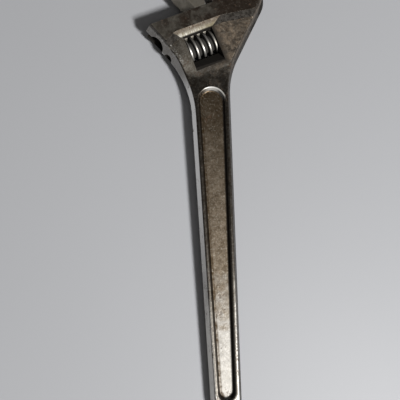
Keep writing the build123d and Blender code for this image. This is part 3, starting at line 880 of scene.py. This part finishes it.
class WRENCH_OT_body(bpy.types.Operator):
    """Finish the forged body in worn plating"""

    bl_idname = "wrench.finish_body"
    bl_label = "Finish body"

    def execute(self, context):
        dress("wrench_body", worn_forging(context.scene.wrench_finish))
        return {"FINISHED"}


class WRENCH_OT_jaw(bpy.types.Operator):
    """Finish the movable jaw in rubbed steel"""

    bl_idname = "wrench.finish_jaw"
    bl_label = "Finish jaw"

    def execute(self, context):
        finish = context.scene.wrench_finish
        dress("movable_jaw", rubbed_steel("jaw_steel", finish, finish.tarnish, finish.oxide,
                                          wear_reach=0.002, dirt_reach=0.004, smoothest=0.5))
        return {"FINISHED"}


class WRENCH_OT_worm(bpy.types.Operator):
    """Make the worm with its worn thread"""

    bl_idname = "wrench.make_worm"
    bl_label = "Make worm"

    def execute(self, context):
        finish = context.scene.wrench_finish
        points, crest = worm_points(context.scene.wrench_sizes)
        worm = make_piece("thumb_worm", points, grid_faces(*points.shape[:2], wrap_rows=True))
        worm.data.attributes.new("crest", "FLOAT", "POINT").data.foreach_set("value", crest.ravel())
        steel = rubbed_steel("worm_steel", finish, finish.bare, finish.tarnish,
                             wear_reach=0.001, dirt_reach=0.004, smoothest=0.45, crest="crest")
        worm.data.materials.append(steel)
        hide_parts("adjusting_worm")
        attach(worm, "worm")
        return {"FINISHED"}


class WRENCH_OT_screw(bpy.types.Operator):
    """Finish the worm's screw in dark steel"""

    bl_idname = "wrench.finish_screw"
    bl_label = "Finish screw"

    def execute(self, context):
        finish = context.scene.wrench_finish
        dress("worm_screw", rubbed_steel("screw_steel", finish, finish.patina, finish.oxide,
                                         wear_reach=0.0012, dirt_reach=0.003, smoothest=0.38))
        return {"FINISHED"}


class WRENCH_OT_spring(bpy.types.Operator):
    """Make the worm's small coil spring"""

    bl_idname = "wrench.make_spring"
    bl_label = "Make spring"

    def execute(self, context):
        finish = context.scene.wrench_finish
        points = spring_points(context.scene.wrench_sizes)
        rows, sides = points.shape[:2]
        ends = [list(range(sides))[::-1], list(range((rows - 1) * sides, rows * sides))]
        spring = make_piece("coil_spring", points, grid_faces(rows, sides, wrap_rows=False) + ends)
        spring.data.materials.append(rubbed_steel("spring_steel", finish, finish.patina, finish.oxide,
                                                  wear_reach=0.0004, dirt_reach=0.002, smoothest=0.35))
        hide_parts("worm_spring")
        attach(spring, "wrench")
        return {"FINISHED"}


# Stage

KEY_FROM, KEY_DISTANCE = (0.425, -0.515, 0.766), 2.5
SOFT_FROM, SOFT_DISTANCE = (0.14, -0.33, 0.93), 1.14
NEAREST_SEEN = 0.01               # in front of the camera
LIGHT_WALL = (0.8, -0.6, 0.0)     # direction of the lighter walls
WALL_BLEND = (-0.5, 0.9)          # from the dim walls to the lighter ones
ZENITH_BLEND = (0.15, 0.75)       # from the walls up to the dim ceiling


def resting_line(points):
    """Height at the hang hole and fall per metre of the table: the line from below that touches the tail and
    the rear of the head, where the fall from the tail's rear edge is steepest. Of equally low points of the
    tail, the one nearest its end counts."""
    tie_divisor = 1000
    tail = points[points[:, 1] < 0]
    tail = tail[np.argmin(tail[:, 2] + tail[:, 1] / tie_divisor)]
    head = points[points[:, 1] > points[:, 1].mean()]
    fall_rate = ((head[:, 2] - tail[2]) / (head[:, 1] - tail[1])).min()
    return tail[2] - fall_rate * tail[1], fall_rate


def add_lamp(name, side, power, direction, distance, target):
    """Square soft light that looks at a target from a direction."""
    lamp = bpy.data.lights.new(name, "AREA")
    lamp.size = side
    lamp.energy = power
    holder = bpy.data.objects.new(name, lamp)
    towards = np.array(direction) / np.linalg.norm(direction)
    holder.location = np.array(target) + towards * distance
    holder.rotation_euler = Vector(-towards).to_track_quat("-Z", "Y").to_euler()
    bpy.context.scene.collection.objects.link(holder)
    return holder


class WRENCH_OT_stage(bpy.types.Operator):
    """Make the table, the lights and the camera"""

    bl_idname = "wrench.make_stage"
    bl_label = "Make stage"

    def execute(self, context):
        scene = context.scene
        stage = scene.wrench_stage
        points = node_points("wrench_body")
        middle = (points.min(axis=0) + points.max(axis=0)) / 2
        height, fall_rate = resting_line(points)
        corner = stage.floor_side / 2 * np.array(((-1, -1), (1, -1), (1, 1), (-1, 1))) + middle[:2]
        corners = np.column_stack((corner, height + fall_rate * corner[:, 1]))
        floor = make_piece("table", corners, [[0, 1, 2, 3]])
        floor.data.materials.append(table_top(stage))

        add_lamp("key", stage.key_side, stage.key_power, KEY_FROM, KEY_DISTANCE, middle)
        add_lamp("soft", stage.soft_side, stage.soft_power, SOFT_FROM, SOFT_DISTANCE, middle)

        world = bpy.data.worlds.new("studio")
        world.use_nodes = True
        sky = world.node_tree
        towards = sky.nodes.new("ShaderNodeTexCoord").outputs["Generated"]
        walls = over(sky, rise(sky, dot(sky, towards, LIGHT_WALL, 0.0), *WALL_BLEND),
                     opaque(stage.dim_side), opaque(stage.light_side))
        dome = over(sky, rise(sky, dot(sky, towards, FRONT, 0.0), *ZENITH_BLEND), walls, opaque(stage.zenith))
        sky.links.new(dome, sky.nodes["Background"].inputs["Color"])
        scene.world = world

        camera = bpy.data.cameras.new("camera")
        camera.sensor_width = stage.camera_lens
        camera.lens = stage.camera_lens
        camera.clip_start = NEAREST_SEEN
        viewer = bpy.data.objects.new("camera", camera)
        viewer.location = stage.camera_place
        viewer.rotation_euler = stage.camera_turn
        scene.collection.objects.link(viewer)
        scene.camera = viewer
        scene.view_settings.view_transform = "Standard"
        return {"FINISHED"}


STEPS = (WRENCH_OT_body, WRENCH_OT_jaw, WRENCH_OT_worm, WRENCH_OT_screw, WRENCH_OT_spring, WRENCH_OT_stage)


class WRENCH_PT_sidebar(bpy.types.Panel):
    """Steps and values of the wrench"""

    bl_idname = "WRENCH_PT_sidebar"
    bl_label = "Adjustable wrench"
    bl_space_type = "VIEW_3D"
    bl_region_type = "UI"
    bl_category = "Wrench"

    def draw(self, context):
        for step in STEPS:
            self.layout.operator(step.bl_idname)
        for values in (context.scene.wrench_sizes, context.scene.wrench_finish, context.scene.wrench_stage):
            box = self.layout.box()
            for name in values.__annotations__:
                box.prop(values, name)


VALUES = {"wrench_sizes": WrenchSizes, "wrench_finish": WrenchFinish, "wrench_stage": WrenchStage}
CLASSES = (*VALUES.values(), *STEPS, WRENCH_PT_sidebar)


def register():
    for made in CLASSES:
        bpy.utils.register_class(made)
    for name, group in VALUES.items():
        setattr(bpy.types.Scene, name, PointerProperty(type=group))


def unregister():
    for name in VALUES:
        delattr(bpy.types.Scene, name)
    for made in reversed(CLASSES):
        bpy.utils.unregister_class(made)


def main():
    register()
    bpy.ops.wrench.finish_body()
    bpy.ops.wrench.finish_jaw()
    bpy.ops.wrench.make_worm()
    bpy.ops.wrench.finish_screw()
    bpy.ops.wrench.make_spring()
    bpy.ops.wrench.make_stage()


if __name__ == "__main__":
    main()
